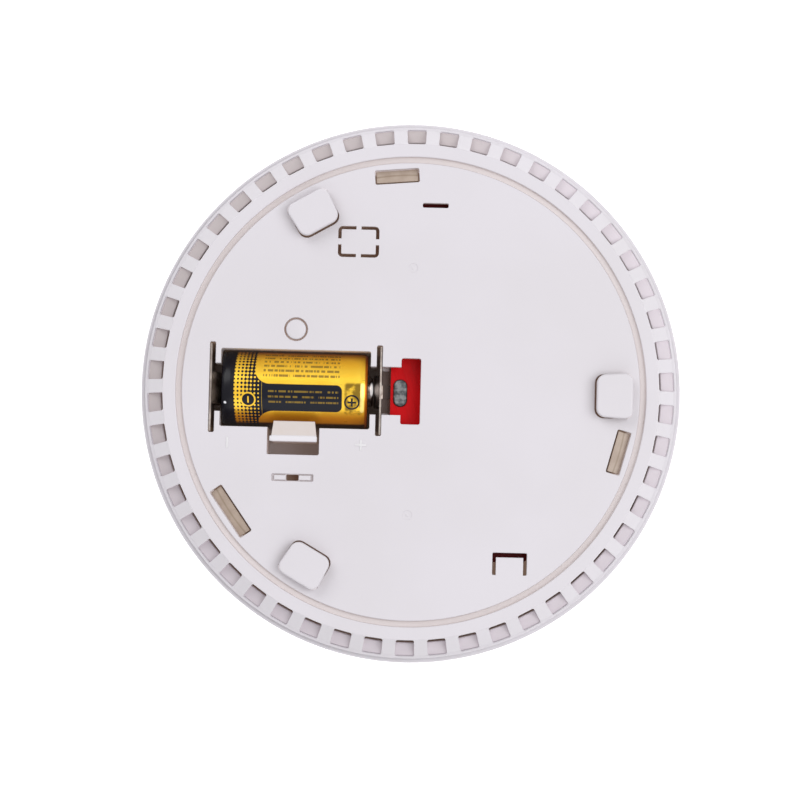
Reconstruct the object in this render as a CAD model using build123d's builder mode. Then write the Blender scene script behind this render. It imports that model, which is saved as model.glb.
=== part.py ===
from build123d import *
import os
from math import cos, radians, sin

# Round battery smoke detector, lying on its front with its ceiling side up.
# The origin is the middle of the front face, and +Z points to the ceiling side.
# All sizes are in millimetres, and heights are measured from the front face.

# Overall sizes
rim_r = 60.0
rear_z = 34.0
plate_t = 2.0
plate_under = rear_z - plate_t
cover_t = 2.2
cover_top = 27.0
flange_z = 24.8
baffle_r = 55.3
baffle_z = (28.6, 30.2)
gap = 0.05
through = 12.0

# Rear ring, groove and the sloping band of smoke openings
groove_in_r = 50.6
groove_out_r = 52.0
groove_depth = 1.0
ring_r = 54.8
skirt_t = 1.2
skirt_z = 31.2
band_t = 0.9
band_r = 58.3
band_z = 29.4
housing_r = 59.0
window_count = 50
window_pitch = 360 / window_count
window_angle = 4.2

# Bayonet lugs
lug_count = 3
lug_in_r = 40.9
lug_out_r = 48.9
lug_width = (9.3, 10.2)
lug_corner = 1.9
lug_gap = 1.6
lug_h = 3.0
lug_stem_r = 46.4
lug_window_r = 40.5
lug_window_w = 10.3

# Snap windows (angle, width) and the hooks that hold the two shells together
snaps = [(95, 9.8), (215, 12.2), (345, 9.8)]
snap_in_r = 46.2
snap_out_r = 49.3
snap_ledge_r = 48.4
snap_ledge_z = 32.4
hook_in_r = 46.5
hook_t = 1.5
hook_reach = 1.1
hook_top = 33.4
hook_root = 4.5

# CR123A cell and its bay
cell_r = 8.4
cell_z = rear_z - 0.3 - cell_r
cell_x0 = -41.9
cell_x1 = -9.6
sleeve_t = 0.35
lip_r = 6.8
nub_r = 3.2
nub_x = -8.3
bay_x = (-42.1, -9.0)
bay_y = 8.6
bay_wall = 1.5
bay_floor = cell_z - cell_r - 0.1
bay_bottom = bay_floor - bay_wall
bay_out_x = (-46.1, -4.9)
neck_y = 5.3
slit_y = 10.0
left_slit_x = (-44.6, -43.3)
right_slit_x = (-7.7, -6.4)
passage_z = 26.0

# Battery contacts
contact_t = 0.4
contact_y = 9.7
contact_z = (17.6, 33.1)
leaf_y = 3.5
leaf_z = (20.0, 30.6)
solder_centre = (-2.35, -0.25)
solder_size = (3.1, 6.1)
tail_y = 1.5
tail_z = 26.2

# Battery latch and its pocket
pocket_x = (-31.5, -20.0)
pocket_y = -14.6
latch_x = (-30.4, -20.8)
latch_ridge_x = (-31.0, -20.5)
latch_y = (-11.7, -10.3)
latch_tip_y = -7.15
latch_tip_z = (32.55, 32.95)
latch_top = 33.9

# Circuit board
board_top = 29.0
board_t = 1.6
board_under = board_top - board_t
board_r = 45.2
board_edge_x = -4.5
board_flat_y = -37.2
screw_spots = [(36.0, 22.0), (-33.0, 26.5), (-6.0, -40.0)]
screw_r = 1.1
screw_head_r = 2.3
boss_r = 3.0

# Small features of the rear plate
opening_x = (-2.2, 2.1)
opening_y = 7.3
knock_centre = (-12.35, 32.85)
knock_size = (9.1, 6.9)
knock_line = 0.65
knock_bridge = (1.1, 1.3)
pair_centre = (-25.7, 13.15)
pair_hole_r = 2.6
pair_button_r = 2.25
tongue_x = (18.85, 26.45)
tongue_y = (-40.0, -35.1)
tongue_gap = (0.8, 1.0)
sight_slot = (4.5, 41.3)
sight_size = (5.7, 1.0)
bridge_centre = (-25.7, -19.65)
bridge_size = (9.2, 1.6)
bridge_pad = (2.6, 1.1)
bridge_pad_dx = 2.75
gate_spots = [(-0.15, 27.3), (-0.15, -27.3)]
gate_r = (1.0, 0.4)
mark_depth = 0.15
plus_centre = (-10.8, -12.1)
minus_centre = (-40.3, -12.2)
mark_size = (2.4, 0.45)

# Test button, sounder, smoke chamber and status lamp
button_r = 13.0
button_gap = 0.35
button_recess = 0.6
switch_x = 1.6
sounder_centre = (-12.0, 29.0)
sounder_r = 14.3
sounder_z = 12.0
disc_z = 20.0
chamber_centre = (24.0, 0.0)
chamber_r = 18.0
chamber_z = 9.0
chamber_wall = 1.5
screen_r = (17.6, 17.3)
optic_z = 18.0
lamp_centre = (3.0, -19.0)
lamp_r = 1.5
guide_r = (16.2, 15.0)
guide_h = 4.0

os.makedirs("parts", exist_ok=True)


def turned_plane(angle, height):
    """Horizontal plane at a height, with its X axis turned to an angle."""
    return Plane.XY.offset(height).rotated((0, 0, angle))


def rect_between(x_pair, y_pair, mode=Mode.ADD):
    """Rectangle between two X lines and two Y lines, inside a sketch."""
    middle = (sum(x_pair) / 2, sum(y_pair) / 2)
    with Locations(middle):
        Rectangle(abs(x_pair[1] - x_pair[0]), abs(y_pair[1] - y_pair[0]), mode=mode)


def finish(piece, name):
    """Label a finished piece and write its file."""
    piece.part.label = name
    export_step(piece.part, f"parts/{name}.step")


# ---- Rear housing: the moulded ceiling-side shell, with the battery bay hanging below its plate
with BuildPart() as rear_housing:
    with BuildSketch(Plane.XZ):
        with BuildLine():
            Polyline(
                (0, plate_under),
                (0, rear_z),
                (groove_in_r, rear_z),
                (groove_in_r, rear_z - groove_depth),
                (groove_out_r, rear_z - groove_depth),
                (groove_out_r, rear_z),
                (ring_r, rear_z),
                (band_r, band_z),
                (housing_r, band_z - 0.5),
                (housing_r, cover_top + gap),
                (band_r, cover_top + gap),
                (band_r, baffle_z[0] + gap),
                (band_r - 1, baffle_z[0] + band_t),
                (ring_r, rear_z - 2 * band_t),
                (ring_r, skirt_z),
                (ring_r - skirt_t, skirt_z),
                (ring_r - skirt_t, plate_under - 1),
                (groove_in_r - 1, plate_under - 1),
                (groove_in_r - 2, plate_under),
                close=True,
            )
        make_face()
    revolve(axis=Axis.Z)

    # Smoke openings, straight down through the sloping band
    half_angle = radians(window_angle / 2)
    window_r0 = ring_r + gap
    with BuildSketch(Plane.XY.offset(rear_z)):
        with PolarLocations(0, window_count, start_angle=window_pitch / 2):
            Polygon(
                (window_r0 * cos(half_angle), window_r0 * sin(half_angle)),
                (window_r0 * cos(half_angle), -window_r0 * sin(half_angle)),
                (band_r * cos(half_angle), -band_r * sin(half_angle)),
                (band_r * cos(half_angle), band_r * sin(half_angle)),
                align=None,
            )
    extrude(amount=cover_top + 1 - rear_z, mode=Mode.SUBTRACT)

    # Windows under the lug heads
    with BuildSketch(Plane.XY.offset(rear_z)):
        with PolarLocations(0, lug_count):
            with Locations(((lug_window_r + lug_stem_r) / 2, 0)):
                RectangleRounded(lug_stem_r - lug_window_r, lug_window_w, lug_corner)
    extrude(amount=-plate_t, mode=Mode.SUBTRACT)

    # Block around the battery bay, its contact slits and the latch pocket
    block_y = bay_y + bay_wall
    end_y = slit_y + bay_wall
    with BuildSketch(Plane.XY.offset(bay_bottom)):
        rect_between(bay_out_x, (-block_y, block_y))
        rect_between((bay_out_x[0], bay_x[0] + gap), (-end_y, end_y))
        rect_between((bay_x[1] - gap, bay_out_x[1]), (-end_y, end_y))
        rect_between(
            (pocket_x[0] - bay_wall, pocket_x[1] + bay_wall), (pocket_y - bay_wall, -bay_y)
        )
    extrude(amount=plate_under + gap - bay_bottom)

    # Screw bosses and the seats of the snap hooks
    with BuildSketch(Plane.XY.offset(board_top)):
        with Locations(*screw_spots):
            Circle(boss_r)
    extrude(amount=plate_under + gap - board_top)
    for snap_angle, snap_width in snaps:
        with BuildSketch(turned_plane(snap_angle, plate_under - 1)):
            rect_between(
                (snap_in_r - 1.2, snap_out_r + 0.8), (-snap_width / 2 - 1.2, snap_width / 2 + 1.2)
            )
        extrude(amount=1 + gap)

    # Bayonet lugs: a stem at the outer side and a head that reaches inwards
    for lug_low, lug_high in ((rear_z - gap, rear_z + lug_gap), (rear_z + lug_gap, rear_z + lug_h)):
        with BuildSketch(Plane.XY.offset(lug_low)) as lug_outline:
            with PolarLocations(0, lug_count):
                Polygon(
                    (lug_in_r, -lug_width[0] / 2),
                    (lug_out_r, -lug_width[1] / 2),
                    (lug_out_r, lug_width[1] / 2),
                    (lug_in_r, lug_width[0] / 2),
                    align=None,
                )
            fillet(lug_outline.vertices(), radius=lug_corner)
            if lug_low < rear_z:
                with PolarLocations(0, lug_count):
                    with Locations(((lug_in_r + lug_stem_r) / 2, 0)):
                        Rectangle(lug_stem_r - lug_in_r, lug_window_w, mode=Mode.SUBTRACT)
        extrude(amount=lug_high - lug_low)
    lug_tops = rear_housing.faces().filter_by(Plane.XY).sort_by(Axis.Z)[-lug_count:]
    fillet(lug_tops.edges(), radius=0.5)

    # Battery bay, the necks and slits at its ends, and the latch pocket
    with BuildSketch(Plane.XY.offset(bay_floor)):
        rect_between(bay_x, (-bay_y, bay_y))
        rect_between((left_slit_x[0], bay_x[0] + gap), (-neck_y, neck_y))
        rect_between((bay_x[1] - gap, right_slit_x[1]), (-neck_y, neck_y))
        rect_between(left_slit_x, (-slit_y, slit_y))
        rect_between(right_slit_x, (-slit_y, slit_y))
        rect_between(pocket_x, (pocket_y, -bay_y + gap))
    extrude(amount=rear_z - bay_floor, mode=Mode.SUBTRACT)

    # Opening over the soldered contact, joined to the right slit by a passage
    with BuildSketch(Plane.XY.offset(passage_z)):
        rect_between((right_slit_x[1] - gap, opening_x[0]), (-neck_y, neck_y))
        rect_between(opening_x, (-opening_y, opening_y))
    extrude(amount=rear_z - passage_z, mode=Mode.SUBTRACT)

    # Snap windows, stepped by the ledge that the hooks catch on
    for snap_angle, snap_width in snaps:
        half_width = snap_width / 2
        with BuildSketch(turned_plane(snap_angle, rear_z)):
            rect_between((snap_in_r, snap_out_r), (-half_width, half_width))
        extrude(amount=snap_ledge_z - rear_z, mode=Mode.SUBTRACT)
        with BuildSketch(turned_plane(snap_angle, rear_z)):
            rect_between((snap_in_r, snap_ledge_r), (-half_width, half_width))
        extrude(amount=-plate_t - 1.2, mode=Mode.SUBTRACT)

    # Holes through the plate: pairing button, tongue, sight slot, knock-out line, bridge slot
    with BuildSketch(Plane.XY.offset(rear_z)):
        with Locations(pair_centre):
            Circle(pair_hole_r)
        rect_between(tongue_x, tongue_y)
        with Locations(sight_slot):
            Rectangle(*sight_size)
        with Locations(bridge_centre):
            Rectangle(bridge_size[0] - 2 * bridge_pad[0] - 1.2, bridge_size[1] - 0.3)
    extrude(amount=-plate_t - 1, mode=Mode.SUBTRACT)
    with BuildSketch(Plane.XY.offset(rear_z)):
        with Locations(knock_centre):
            RectangleRounded(*knock_size, 1.0)
            RectangleRounded(
                knock_size[0] - 2 * knock_line, knock_size[1] - 2 * knock_line, 0.5,
                mode=Mode.SUBTRACT,
            )
            Rectangle(knock_bridge[0], knock_size[1], mode=Mode.SUBTRACT)
            Rectangle(knock_size[0], knock_bridge[1], mode=Mode.SUBTRACT)
    extrude(amount=-plate_t, mode=Mode.SUBTRACT)

    # Shallow recess of the bridge slot around its two pads, and the gate marks
    with BuildSketch(Plane.XY.offset(rear_z)):
        with Locations(bridge_centre):
            Rectangle(*bridge_size)
            with Locations((-bridge_pad_dx, 0), (bridge_pad_dx, 0)):
                Rectangle(*bridge_pad, mode=Mode.SUBTRACT)
    extrude(amount=-1.0, mode=Mode.SUBTRACT)
    with BuildSketch(Plane.XY.offset(rear_z)):
        with Locations(*gate_spots):
            Circle(gate_r[0])
            Circle(gate_r[1], mode=Mode.SUBTRACT)
    extrude(amount=-mark_depth, mode=Mode.SUBTRACT)

    # Raised polarity marks beside the bay
    with BuildSketch(Plane.XY.offset(rear_z - gap)):
        with Locations(plus_centre):
            Rectangle(*mark_size)
            Rectangle(mark_size[1], mark_size[0])
        with Locations(minus_centre):
            Rectangle(mark_size[1], mark_size[0])
    extrude(amount=mark_depth + gap)

    # Screw holes in the bosses
    with BuildSketch(Plane.XY.offset(board_top)):
        with Locations(*screw_spots):
            Circle(screw_r)
    extrude(amount=3.9, mode=Mode.SUBTRACT)
finish(rear_housing, "rear_housing")


# ---- Front cover: the bowl that faces the room, with its three tall snap hooks
with BuildPart() as front_cover:
    hole_r = button_r + button_gap
    with BuildSketch(Plane.XZ):
        with BuildLine():
            FilletPolyline(
                (hole_r, 0),
                (46.5, 0),
                (56.4, 19.8),
                (57.5, flange_z),
                (rim_r, flange_z),
                (rim_r, cover_top),
                (band_r - gap, cover_top),
                (band_r - gap, baffle_z[0]),
                (baffle_r, baffle_z[1]),
                (baffle_r, 25.2),
                (54.3, 20.3),
                (45.0, cover_t),
                (hole_r, cover_t),
                radius=[0.7, 9, 6, 0.8, 0.5, 0.5, 0, 0, 0.3, 4, 4, 7, 0],
                close=True,
            )
        make_face()
    revolve(axis=Axis.Z)

    # Guide ring of the test button, resonator wall of the sounder and socket of the light pipe
    with BuildSketch(Plane.XY.offset(cover_t - gap)):
        Circle(guide_r[0])
        with Locations(sounder_centre):
            Circle(sounder_r + 0.8)
        with Locations(lamp_centre):
            Circle(lamp_r + 1.3)
        Circle(guide_r[1], mode=Mode.SUBTRACT)
        with Locations(sounder_centre):
            Circle(sounder_r - 0.4, mode=Mode.SUBTRACT)
    extrude(amount=guide_h)
    with BuildSketch(Plane.XY):
        with Locations(lamp_centre):
            Circle(lamp_r)
    extrude(amount=through, mode=Mode.SUBTRACT)

    # Sound slots in front of the sounder
    with BuildSketch(Plane.XY):
        with Locations(sounder_centre):
            with GridLocations(0, 3.6, 1, 5):
                SlotOverall(15.0, 1.5)
    extrude(amount=cover_t + 1, mode=Mode.SUBTRACT)

    # Snap hooks
    for snap_angle, snap_width in snaps:
        hook_w = snap_width - 1.0
        with BuildSketch(turned_plane(snap_angle, hook_root)):
            rect_between((hook_in_r, hook_in_r + hook_t), (-hook_w / 2, hook_w / 2))
        extrude(amount=hook_top - hook_root)
        hook_plane = Plane.XZ.rotated((0, 0, snap_angle))
        with BuildSketch(hook_plane):
            with BuildLine():
                Polyline(
                    (hook_in_r + 0.4, hook_top),
                    (hook_in_r + 1.4, hook_top),
                    (hook_in_r + hook_t + hook_reach, snap_ledge_z + 0.35),
                    (hook_in_r + hook_t + hook_reach, snap_ledge_z + gap),
                    (hook_in_r + 0.4, snap_ledge_z + gap),
                    close=True,
                )
            make_face()
        extrude(amount=hook_w / 2, both=True)
finish(front_cover, "front_cover")


# ---- Battery latch: a springy arm that stands in the pocket and hooks over the cell
with BuildPart() as battery_latch:
    with BuildSketch(Plane.YZ.offset(latch_ridge_x[0])):
        rect_between(latch_y, (bay_floor + 0.35, latch_top))
    extrude(amount=latch_ridge_x[1] - latch_ridge_x[0])
    with BuildSketch(Plane.YZ.offset(latch_x[0])):
        with BuildLine():
            Polyline(
                (latch_y[1] - 0.2, latch_top - 0.15),
                (latch_y[1], latch_top - 0.15),
                (latch_tip_y, latch_tip_z[1]),
                (latch_tip_y, latch_tip_z[0]),
                (latch_y[1] + 0.9, 31.6),
                (latch_y[1], 30.5),
                (latch_y[1] - 0.2, 30.5),
                close=True,
            )
        make_face()
    extrude(amount=latch_x[1] - latch_x[0])
    tip_edges = battery_latch.edges().filter_by(Axis.Z).sort_by(Axis.Y)[-2:]
    fillet(tip_edges, radius=0.6)
finish(battery_latch, "battery_latch")


# ---- Locking tongue: a short springy tab in the plate that snaps into the ceiling bracket
with BuildPart() as locking_tongue:
    with BuildSketch(Plane.XY.offset(plate_under)):
        rect_between(
            (tongue_x[0] + tongue_gap[0], tongue_x[1] - tongue_gap[0]),
            (tongue_y[0] + 2 * gap, tongue_y[1] - tongue_gap[1]),
        )
    extrude(amount=plate_t)
finish(locking_tongue, "locking_tongue")


# ---- Pairing button: a small round button in the plate, kept in by a flange underneath
with BuildPart() as pairing_button:
    with BuildSketch(Plane.XY.offset(plate_under - 0.8)):
        with Locations(pair_centre):
            Circle(pair_hole_r + 0.25)
    extrude(amount=0.6)
    with BuildSketch(Plane.XY.offset(plate_under - 0.8)):
        with Locations(pair_centre):
            Circle(pair_button_r)
    extrude(amount=rear_z - plate_under + 0.8)
    fillet(pairing_button.faces().sort_by(Axis.Z)[-1].edges(), radius=0.2)
finish(pairing_button, "pairing_button")


# ---- Test button: the round middle of the front, with a stem up to its switch
with BuildPart() as test_button:
    with BuildSketch(Plane.XY.offset(button_recess)):
        Circle(button_r)
    extrude(amount=2.2)
    fillet(test_button.faces().sort_by(Axis.Z)[0].edges(), radius=0.8)
    with BuildSketch(Plane.XY.offset(cover_t + 2 * gap)):
        Circle(button_r + 1.5)
    extrude(amount=1.2)
    with BuildSketch(Plane.XY.offset(cover_t + 1)):
        with Locations((switch_x, 0)):
            Circle(1.6)
            Rectangle(6.0, 1.0)
            Rectangle(1.0, 6.0)
    extrude(amount=21.0 - cover_t - 1)
finish(test_button, "test_button")


# ---- Battery: steel can, printed sleeve, insulating washer and positive cap
cell_axis = Axis((0, 0, cell_z), (1, 0, 0))
can_x = (cell_x0 + sleeve_t, cell_x1 - sleeve_t - gap)
with BuildPart() as battery_can:
    with BuildSketch(Plane.XZ):
        rect_between(can_x, (cell_z, cell_z + cell_r - sleeve_t))
    revolve(axis=cell_axis)
finish(battery_can, "battery_can")

with BuildPart() as battery_sleeve:
    with BuildSketch(Plane.XZ):
        rect_between((cell_x0, cell_x1), (cell_z + lip_r, cell_z + cell_r))
        rect_between(can_x, (cell_z + lip_r - 1, cell_z + cell_r - sleeve_t), Mode.SUBTRACT)
    revolve(axis=cell_axis)
    fillet(battery_sleeve.edges().filter_by(GeomType.CIRCLE).group_by(SortBy.LENGTH)[-1], radius=0.3)
finish(battery_sleeve, "battery_sleeve")

with BuildPart() as battery_washer:
    with BuildSketch(Plane.XZ):
        rect_between((can_x[1], cell_x1 - 0.1), (cell_z + nub_r + 0.5, cell_z + lip_r - gap))
    revolve(axis=cell_axis)
finish(battery_washer, "battery_washer")

with BuildPart() as battery_cap:
    with BuildSketch(Plane.XZ):
        rect_between((can_x[1], nub_x), (cell_z, cell_z + nub_r))
    revolve(axis=cell_axis)
    fillet(battery_cap.faces().sort_by(Axis.X)[-1].edges(), radius=0.6)
finish(battery_cap, "battery_cap")


# ---- Battery contacts: sheet metal plates with a bowed leaf towards the cell
def battery_contact(name, plate_x, crest_x, tail_x=None):
    """Upright plate from plate_x, its bowed leaf out to crest_x, and a tail to the board."""
    towards_right = crest_x > plate_x
    leaf_root = plate_x + (contact_t if towards_right else 0)
    leaf_inner = -contact_t if towards_right else contact_t
    middle_z = sum(leaf_z) / 2
    with BuildPart() as contact:
        with BuildSketch(Plane.YZ.offset(plate_x)):
            rect_between((-contact_y, contact_y), contact_z)
        extrude(amount=contact_t)
        with BuildSketch(Plane.XZ):
            with BuildLine():
                outer = ThreePointArc(
                    (leaf_root, leaf_z[0]), (crest_x, middle_z), (leaf_root, leaf_z[1])
                )
                inner = ThreePointArc(
                    (leaf_root, leaf_z[0] + 1.2),
                    (crest_x + leaf_inner, middle_z),
                    (leaf_root, leaf_z[1] - 1.2),
                )
                Line(outer @ 0, inner @ 0)
                Line(outer @ 1, inner @ 1)
            make_face()
        extrude(amount=leaf_y, both=True)
        if tail_x:
            # The tail runs under the board's edge and turns up through the board
            with BuildSketch(Plane.XZ):
                rect_between((plate_x, tail_x + contact_t / 2), (tail_z, tail_z + contact_t))
                rect_between(
                    (tail_x - contact_t / 2, tail_x + contact_t / 2), (tail_z, board_top - gap)
                )
            extrude(amount=tail_y, both=True)
    finish(contact, name)


battery_contact("negative_contact", left_slit_x[0] + 0.1, cell_x0 - 2 * gap)
battery_contact(
    "positive_contact", right_slit_x[1] - 0.1 - contact_t, nub_x + 2 * gap, solder_centre[0]
)

with BuildPart() as contact_solder:
    with BuildSketch(Plane.XY.offset(board_top)):
        with Locations(solder_centre):
            SlotOverall(solder_size[1], solder_size[0], rotation=90)
    extrude(amount=0.45)
    fillet(contact_solder.faces().sort_by(Axis.Z)[-1].edges(), radius=0.4)
finish(contact_solder, "contact_solder")


# ---- Circuit board: a disc with a deep notch for the battery bay
with BuildPart() as circuit_board:
    clear = 0.4
    with BuildSketch(Plane.XY.offset(board_under)):
        Circle(board_r)
        rect_between((-board_r - 1, board_edge_x), (-block_y - clear, block_y + clear), Mode.SUBTRACT)
        for end_x in ((-board_r - 1, bay_x[0] + clear), (bay_x[1] - clear, board_edge_x)):
            rect_between(end_x, (-end_y - clear, end_y + clear), Mode.SUBTRACT)
        rect_between(
            (pocket_x[0] - bay_wall - clear, pocket_x[1] + bay_wall + clear),
            (pocket_y - bay_wall - clear, 0),
            Mode.SUBTRACT,
        )
        rect_between((tongue_x[0] - 2, board_r), (-board_r, board_flat_y), Mode.SUBTRACT)
        with Locations(*screw_spots):
            Circle(screw_r + 0.3, mode=Mode.SUBTRACT)
        with Locations(solder_centre):
            Rectangle(contact_t + 2 * gap, 2 * tail_y + 1.2, mode=Mode.SUBTRACT)
    extrude(amount=board_t)
finish(circuit_board, "circuit_board")

with BuildPart() as board_screws:
    with BuildSketch(Plane.XY.offset(board_under - 1.5)):
        with Locations(*screw_spots):
            Circle(screw_head_r)
    extrude(amount=1.5)
    fillet(board_screws.faces().group_by(Axis.Z)[0].edges(), radius=0.5)
    with BuildSketch(Plane.XY.offset(board_under - gap)):
        with Locations(*screw_spots):
            Circle(screw_r - 0.02)
    extrude(amount=5.2)
    with BuildSketch(Plane.XY.offset(board_under - 1.5)):
        with Locations(*screw_spots):
            Rectangle(2.6, 0.5)
            Rectangle(0.5, 2.6)
    extrude(amount=0.8, mode=Mode.SUBTRACT)
finish(board_screws, "board_screws")


# ---- Smoke chamber: base with its optics, light-proof vane cover and insect screen
emitter_angle = 205
receiver_angle = 335
chamber_top = board_under - gap


def optic_plane(angle, radius):
    """Plane that looks along the sight line of an optic, towards the chamber's middle."""
    outward = Vector(cos(radians(angle)), sin(radians(angle)), 0)
    place = Vector(chamber_centre[0], chamber_centre[1], optic_z) + outward * radius
    return Plane(origin=place, x_dir=(0, 0, 1), z_dir=-outward)


with BuildPart() as chamber_base:
    with BuildSketch(Plane.XY.offset(chamber_top - 2)):
        with Locations(chamber_centre):
            Circle(chamber_r)
    extrude(amount=2)
    for optic_angle in (emitter_angle, receiver_angle):
        holder = turned_plane(optic_angle, 0).x_dir
        corner = Vector(chamber_centre[0], chamber_centre[1], 0)
        with BuildSketch(Plane(origin=corner + Vector(0, 0, optic_z - 4), x_dir=holder)):
            rect_between((8.5, 15.5), (-3.6, 3.6))
        extrude(amount=chamber_top - 2 + gap - optic_z + 4)
        with BuildSketch(optic_plane(optic_angle, 16)):
            Circle(2.6)
        extrude(amount=9, mode=Mode.SUBTRACT)
finish(chamber_base, "chamber_base")

with BuildPart() as chamber_cover:
    with BuildSketch(Plane.XY.offset(chamber_z)):
        with Locations(chamber_centre):
            Circle(chamber_r)
    extrude(amount=chamber_wall)
    # Bent vanes that let smoke in and keep light out, left away beside the optics
    with BuildSketch(Plane.XY.offset(chamber_z + chamber_wall - gap)):
        with Locations(chamber_centre):
            for vane_angle in range(0, 360, 15):
                beside = min(
                    abs((vane_angle - optic_angle + 180) % 360 - 180)
                    for optic_angle in (emitter_angle, receiver_angle)
                )
                if beside > 28:
                    with Locations(Location((0, 0, 0), (0, 0, vane_angle))):
                        with Locations((14.9, 0)):
                            Rectangle(3.4, 0.8, rotation=35)
                        with Locations((13.4, -2.0)):
                            Rectangle(0.8, 2.4, rotation=-12)
    extrude(amount=chamber_top - 2 - chamber_z - chamber_wall - gap)
finish(chamber_cover, "chamber_cover")

with BuildPart() as insect_screen:
    screen_z = chamber_z + chamber_wall + gap
    screen_h = chamber_top - 2 - gap - screen_z
    with BuildSketch(Plane.XY.offset(screen_z)):
        with Locations(chamber_centre):
            Circle(screen_r[0])
            Circle(screen_r[1], mode=Mode.SUBTRACT)
    extrude(amount=screen_h)
    # Fine slots all round
    with BuildSketch(Plane.XY.offset(screen_z + 0.8)):
        with Locations(chamber_centre):
            with PolarLocations(17.45, 60):
                Rectangle(1.2, 0.9)
    extrude(amount=screen_h - 1.6, mode=Mode.SUBTRACT)
finish(insect_screen, "insect_screen")


def round_optic(name, angle):
    """5 mm round optic with a domed tip, lying along its sight line."""
    with BuildPart() as optic:
        with BuildSketch(optic_plane(angle, 15.3)):
            Circle(2.5)
        extrude(amount=6.5)
        tip_plane = optic_plane(angle, 15.3)
        tip = optic.faces().sort_by_distance(chamber_centre + (optic_z,))[0]
        fillet(tip.edges(), radius=2.2)
        with BuildSketch(tip_plane):
            Circle(2.5)
            Rectangle(1.0, 2.54, mode=Mode.SUBTRACT)
        extrude(amount=-0.5)
    finish(optic, name)


round_optic("infrared_emitter", emitter_angle)
round_optic("light_receiver", receiver_angle)


# ---- Sounder: resonator cup, brass disc with its ceramic, and spring fingers to the board
with BuildPart() as sounder_cup:
    cup_top = board_under - gap
    with BuildSketch(Plane.XY.offset(sounder_z)):
        with Locations(sounder_centre):
            Circle(sounder_r)
    extrude(amount=cup_top - sounder_z)
    with BuildSketch(Plane.XY.offset(disc_z)):
        with Locations(sounder_centre):
            Circle(sounder_r - 1.3)
    extrude(amount=cup_top - disc_z, mode=Mode.SUBTRACT)
    with BuildSketch(Plane.XY.offset(sounder_z + 1.3)):
        with Locations(sounder_centre):
            Circle(sounder_r - 2.5)
    extrude(amount=disc_z - sounder_z - 1.3, mode=Mode.SUBTRACT)
    with BuildSketch(Plane.XY.offset(sounder_z)):
        with Locations(sounder_centre):
            Circle(3.5)
    extrude(amount=1.3, mode=Mode.SUBTRACT)
finish(sounder_cup, "sounder_cup")


def round_plate(name, centre, radius, low_z, thickness):
    """Thin round plate lying level."""
    with BuildPart() as plate:
        with BuildSketch(Plane.XY.offset(low_z)):
            with Locations(centre):
                Circle(radius)
        extrude(amount=thickness)
    finish(plate, name)


disc_t = 0.3
ceramic_t = 0.25
round_plate("sounder_disc", sounder_centre, sounder_r - 1.4, disc_z, disc_t)
round_plate("sounder_ceramic", sounder_centre, 9.5, disc_z + disc_t, ceramic_t)

with BuildPart() as sounder_fingers:
    # Each finger stands on the board and bends over onto the disc or its ceramic
    for finger_y, foot_z in ((0.0, disc_z + disc_t + ceramic_t), (11.2, disc_z + disc_t)):
        finger_plane = Plane.XZ.offset(-sounder_centre[1] - finger_y)
        foot_x = sounder_centre[0]
        with BuildSketch(finger_plane):
            rect_between((foot_x - 2.5, foot_x - 2.2), (foot_z + 0.3, board_under - gap))
            rect_between((foot_x - 2.5, foot_x + 1.5), (foot_z + gap, foot_z + 0.3 + gap))
        extrude(amount=0.8, both=True)
finish(sounder_fingers, "sounder_fingers")


# ---- Electronics on the board
def board_block(name, x_pair, y_pair, low_z, high_z, edge=0.2):
    """Moulded or canned component with softened edges."""
    with BuildPart() as block:
        with BuildSketch(Plane.XY.offset(low_z)):
            rect_between(x_pair, y_pair)
        extrude(amount=high_z - low_z)
        chamfer(block.edges(), length=edge)
    finish(block, name)


board_block("control_chip", (16.0, 23.0), (-31.0, -24.0), board_under - 1.4, board_under)
board_block("radio_board", (-21.0, -7.0), (-33.0, -23.0), board_under - 0.8, board_under, 0.1)
board_block("radio_shield", (-19.5, -9.5), (-32.0, -24.0), board_under - 2.6, board_under - 0.8)

with BuildPart() as test_switch:
    with BuildSketch(Plane.XY.offset(board_under - 3.5)):
        with Locations((switch_x, 0)):
            Rectangle(4.5, 4.5)
    extrude(amount=3.5)
    with BuildSketch(Plane.XY.offset(board_under - 5.3)):
        with Locations((switch_x, 0)):
            Circle(1.2)
    extrude(amount=2)
finish(test_switch, "test_switch")

with BuildPart() as pairing_switch:
    with BuildSketch(Plane.XY.offset(board_top)):
        with Locations(pair_centre):
            Rectangle(4.4, 4.4)
    extrude(amount=1.0)
    with BuildSketch(Plane.XY.offset(board_top + 0.9)):
        with Locations(pair_centre):
            Circle(1.0)
    extrude(amount=0.4)
finish(pairing_switch, "pairing_switch")

with BuildPart() as capacitors:
    with BuildSketch(Plane.XY.offset(board_under - 11)):
        with Locations((34.0, -24.0), (27.5, -31.5), (22.0, 26.0)):
            Circle(3.15)
    extrude(amount=11)
    fillet(capacitors.faces().group_by(Axis.Z)[0].edges(), radius=0.5)
finish(capacitors, "capacitors")

with BuildPart() as boost_coil:
    with BuildSketch(Plane.XY.offset(board_under - 6)):
        with Locations((9.0, -35.0)):
            Circle(4.2)
    extrude(amount=6)
    with BuildSketch(Plane.XY.offset(board_under - 4.8)):
        with Locations((9.0, -35.0)):
            Circle(4.2)
            Circle(3.6, mode=Mode.SUBTRACT)
    extrude(amount=3.6, mode=Mode.SUBTRACT)
finish(boost_coil, "boost_coil")

with BuildPart() as status_lamp:
    with BuildSketch(Plane.XY.offset(board_under - 3.4)):
        with Locations(lamp_centre):
            Circle(lamp_r)
    extrude(amount=3.4)
    fillet(status_lamp.faces().sort_by(Axis.Z)[0].edges(), radius=1.2)
finish(status_lamp, "status_lamp")

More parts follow.
